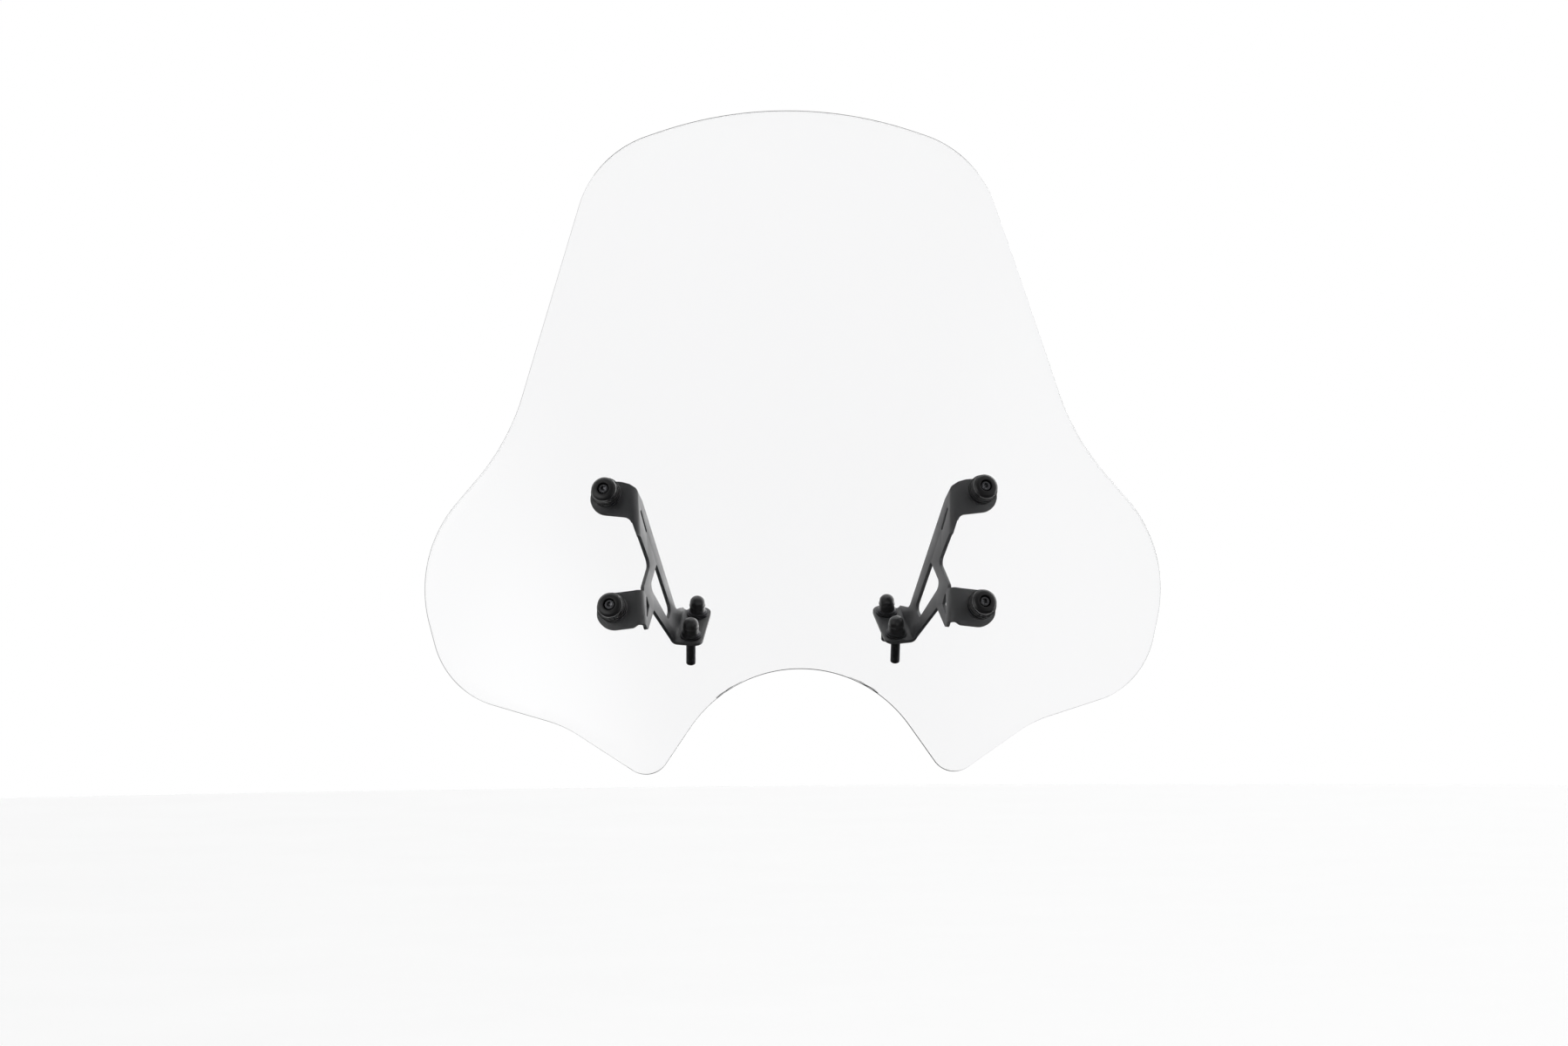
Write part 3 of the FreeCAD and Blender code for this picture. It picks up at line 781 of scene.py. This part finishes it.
def make_clamp_bolts(bodies):
    """Every clamp bolt's pieces, on the axis that its cap pulls off along."""
    for side in SIDES:
        for place in PLACES:
            axis = Vector(joint_named(f"{place}_{side}_cap_pull")["axis"])
            low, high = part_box(f"{place}_{side}_clamp_washer")
            point = (low + high) / 2 - axis * ((PLATE + BOLT_SEAT) / 2 * MM)
            for kind, (make, slot, material) in CLAMP_PIECES.items():
                node = f"{place}_{side}_{kind}"
                put(make(f"fine_{node}"), node, bodies[node], material, point, axis)


# ---- the studio ----
CAMERA_AZIMUTH = -2.2
CAMERA_ROLL = -0.45
CAMERA_DISTANCE = 3.5
CAMERA_HEIGHT = 0.0883
CAMERA_LENS = 94.65
CAMERA_SENSOR = 36.0
CAMERA_SHIFT = -0.005
FLOOR_HEIGHT = -0.9
FLOOR_RADIUS = 12.0
AMBIENT = 0.04                  # the world's least strength as a light
GLOWS = [                       # towards, strength, and the cosines where it starts and is full
    ((0, 1, 0.1), 0.95, -0.05, 0.35),       # the backdrop
    ((0.75, 0.65, 0.1), 1.9, 0.55, 0.95),   # behind, on the right
    ((0, 0.3, 1), 0.35, 0.3, 0.9),          # overhead
    ((0.86, -0.5, 0.25), 0.3, 0.75, 0.97),  # in front, on the right
    ((-0.86, -0.5, 0.1), 0.7, 0.75, 0.97),  # in front, on the left
    ((-0.6, -0.77, 0.2), 0.5, 0.9, 0.99),   # nearer to the camera on the left
    ((0, 0, -1), -1.0, 0.15, 0.6),          # takes light away from below
]


def make_camera():
    """In front of the object and aimed level, turned and rolled slightly, and framed by a small shift."""
    data = bpy.data.cameras.new("camera")
    data.sensor_width = CAMERA_SENSOR
    data.lens = CAMERA_LENS
    data.shift_x = CAMERA_SHIFT
    data.clip_end = 100.0
    camera = bpy.data.objects.new("camera", data)
    azimuth = math.radians(CAMERA_AZIMUTH)
    place = Vector((math.sin(azimuth) * CAMERA_DISTANCE, -math.cos(azimuth) * CAMERA_DISTANCE, CAMERA_HEIGHT))
    heading = Matrix.Rotation(azimuth, 4, "Z") @ Matrix.Rotation(math.pi / 2, 4, "X")
    roll = Matrix.Rotation(math.radians(CAMERA_ROLL), 4, "Z")
    camera.matrix_world = Matrix.Translation(place) @ heading @ roll
    bpy.context.scene.collection.objects.link(camera)
    bpy.context.scene.camera = camera


def make_softbox(name, place, target, width, height, power):
    """A soft light that isn't itself seen in the sheet or the metal, where it would look like a window."""
    data = bpy.data.lights.new(name, "AREA")
    data.shape = "RECTANGLE"
    data.size = width
    data.size_y = height
    data.energy = power
    light = bpy.data.objects.new(name, data)
    light.location = place
    light.rotation_euler = (Vector(target) - Vector(place)).to_track_quat("-Z", "Y").to_euler()
    light.visible_glossy = False
    light.visible_transmission = False
    bpy.context.scene.collection.objects.link(light)


def make_floor():
    bpy.ops.mesh.primitive_circle_add(
        vertices=96, radius=FLOOR_RADIUS, fill_type="NGON", location=(0, 0, FLOOR_HEIGHT))
    floor = bpy.context.object
    floor.name = "studio_floor"
    floor.data.materials.append(studio_floor())
    floor.visible_glossy = False
    floor.visible_diffuse = False


class WorldNodes:
    """Short ways to build the studio's surroundings from soft glows, each round a direction."""

    def __init__(self):
        world = bpy.data.worlds.new("studio")
        world.use_nodes = True
        bpy.context.scene.world = world
        self.tree = world.node_tree
        self.background = self.tree.nodes["Background"]
        self.direction = self.tree.nodes.new("ShaderNodeTexCoord").outputs["Generated"]

    def maths(self, operation, first, second):
        made = self.tree.nodes.new("ShaderNodeMath")
        made.operation = operation
        for socket, value in zip(made.inputs, (first, second)):
            if isinstance(value, bpy.types.NodeSocket):
                self.tree.links.new(value, socket)
            else:
                socket.default_value = value
        return made.outputs["Value"]

    def glow(self, towards, strength, start, end):
        """Rises smoothly to the strength as a direction's cosine to the glow's goes from start to end."""
        along = self.tree.nodes.new("ShaderNodeVectorMath")
        along.operation = "DOT_PRODUCT"
        self.tree.links.new(self.direction, along.inputs[0])
        along.inputs[1].default_value = Vector(towards).normalized()
        made = self.tree.nodes.new("ShaderNodeMapRange")
        made.interpolation_type = "SMOOTHSTEP"
        for name, value in (("From Min", start), ("From Max", end), ("To Min", 0.0), ("To Max", strength)):
            made.inputs[name].default_value = value
        self.tree.links.new(along.outputs["Value"], made.inputs["Value"])
        return made.outputs["Result"]


def make_world():
    """White to look at, straight or through the sheet. As a light, the glows' sum, at least AMBIENT."""
    nodes = WorldNodes()
    light = AMBIENT
    for towards, strength, start, end in GLOWS:
        light = nodes.maths("ADD", light, nodes.glow(towards, strength, start, end))
    light = nodes.maths("MAXIMUM", light, AMBIENT)
    path = nodes.tree.nodes.new("ShaderNodeLightPath")
    bounces = nodes.maths("ADD", path.outputs["Diffuse Depth"], path.outputs["Glossy Depth"])
    straight = nodes.maths("LESS_THAN", bounces, 0.5)
    through = nodes.maths("MULTIPLY", path.outputs["Is Transmission Ray"], straight)
    looked_at = nodes.maths("MAXIMUM", path.outputs["Is Camera Ray"], through)
    lit = nodes.maths("MULTIPLY", light, nodes.maths("SUBTRACT", 1.0, looked_at))
    nodes.tree.links.new(nodes.maths("ADD", lit, looked_at), nodes.background.inputs["Strength"])
    nodes.background.inputs["Color"].default_value = (1.0, 1.0, 1.0, 1.0)


def make_studio():
    make_camera()
    make_floor()
    make_world()
    make_softbox("left_softbox", (-2.0, -2.6, 0.25), (0, 0, 0.1), 0.8, 0.8, 12.0)
    make_softbox("right_softbox", (2.2, -2.2, 0.45), (0, 0, 0.1), 0.7, 0.9, 6.0)
    make_softbox("top_softbox", (0.0, 0.6, 2.6), (0, 0, 0.0), 1.8, 1.8, 6.0)
    bpy.context.scene.view_settings.view_transform = "Standard"


def main():
    make_screen()
    for side in SIDES:
        make_bracket(side)
    bodies = bodies_by_node()
    make_mounts(bodies)
    make_clamp_bolts(bodies)
    make_studio()
    bpy.context.view_layer.update()


main()
